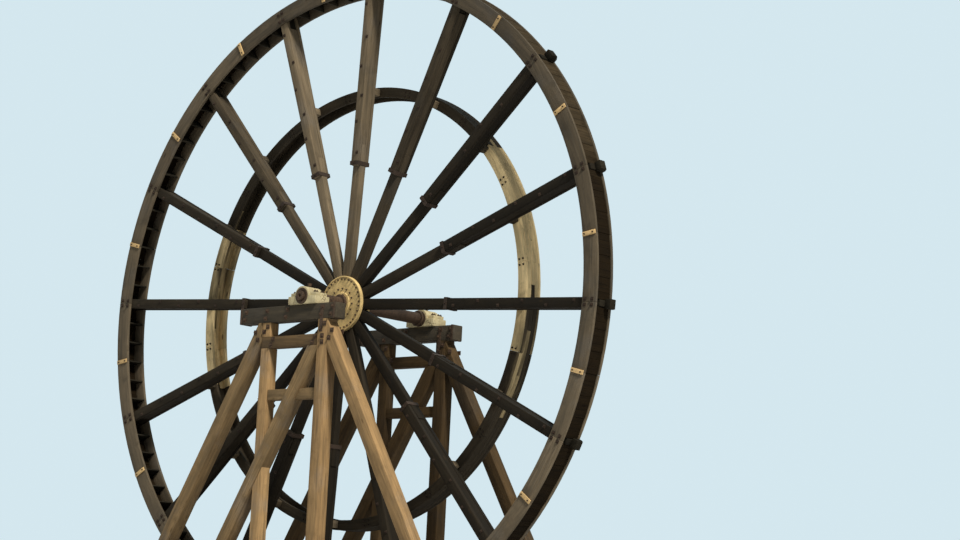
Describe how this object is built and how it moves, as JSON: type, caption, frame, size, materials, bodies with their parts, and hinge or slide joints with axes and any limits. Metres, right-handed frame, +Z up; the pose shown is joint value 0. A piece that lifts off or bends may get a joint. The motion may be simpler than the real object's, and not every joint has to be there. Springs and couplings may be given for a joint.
{
  "type": "water wheel",
  "caption": "Giant timber bucket-lifting water wheel with paired spokes and an inner ring, turning on an iron shaft between two braced timber trestles.",
  "frame": {"origin": "on the ground under the middle of the whole object, below the axle", "axes": "+Z up, the wheel stands in the XZ plane, the axle lies along Y, and the viewer of the picture stands on the -Y, +X side"},
  "size_m": [18.0252, 7.9, 18.5626],
  "materials": {
    "weathered_timber": "weathered, unpainted",
    "warm_timber": "sawn, sun-bleached orange-brown",
    "pale_timber": "sawn, pale",
    "rusted_iron": "rusted",
    "hub_iron": "rusted, dusty orange-brown",
    "cream_iron": "chalky cream"
  },
  "bodies": {
    "trestles": {"cross_sills": "weathered_timber", "sill_front": "weathered_timber", "post_right_front": "warm_timber", "post_left_front": "warm_timber", "raker_right_front": "warm_timber", "raker_middle_front": "warm_timber", "raker_left_front": "warm_timber", "beam_front": "warm_timber", "tie_front": "warm_timber", "girts_front": "weathered_timber", "outriggers_front": "weathered_timber", "bearing_base_front": "cream_iron", "bearing_cap_front": "cream_iron", "sill_rear": "weathered_timber", "post_right_rear": "warm_timber", "post_left_rear": "warm_timber", "raker_right_rear": "warm_timber", "raker_middle_rear": "warm_timber", "raker_left_rear": "warm_timber", "beam_rear": "warm_timber", "tie_rear": "warm_timber", "girts_rear": "weathered_timber", "outriggers_rear": "weathered_timber", "bearing_base_rear": "cream_iron", "bearing_cap_rear": "cream_iron"},
    "wheel": {"shaft": "rusted_iron", "hub_core": "rusted_iron", "hub_disc_front": "hub_iron", "hub_disc_rear": "hub_iron", "spokes_odd": "weathered_timber", "spokes_even": "weathered_timber", "cheeks_front": "weathered_timber", "cheeks_rear": "weathered_timber", "spoke_tenons": "weathered_timber", "spoke_heads": "weathered_timber", "shroud_front": "weathered_timber", "shroud_rear": "weathered_timber", "sole": "weathered_timber", "bucket_boards": "weathered_timber", "joint_cleats": "pale_timber", "ring_front": "weathered_timber", "ring_rear": "weathered_timber", "ring_lagging": "pale_timber", "ring_chocks": "weathered_timber"}
  },
  "joints": [
    {"name": "wheel_turn", "type": "hinge", "parent": "trestles", "child": "wheel", "pos_m": [0, 0, 9.55], "axis": [0, 1, 0], "continuous": true}
  ]
}
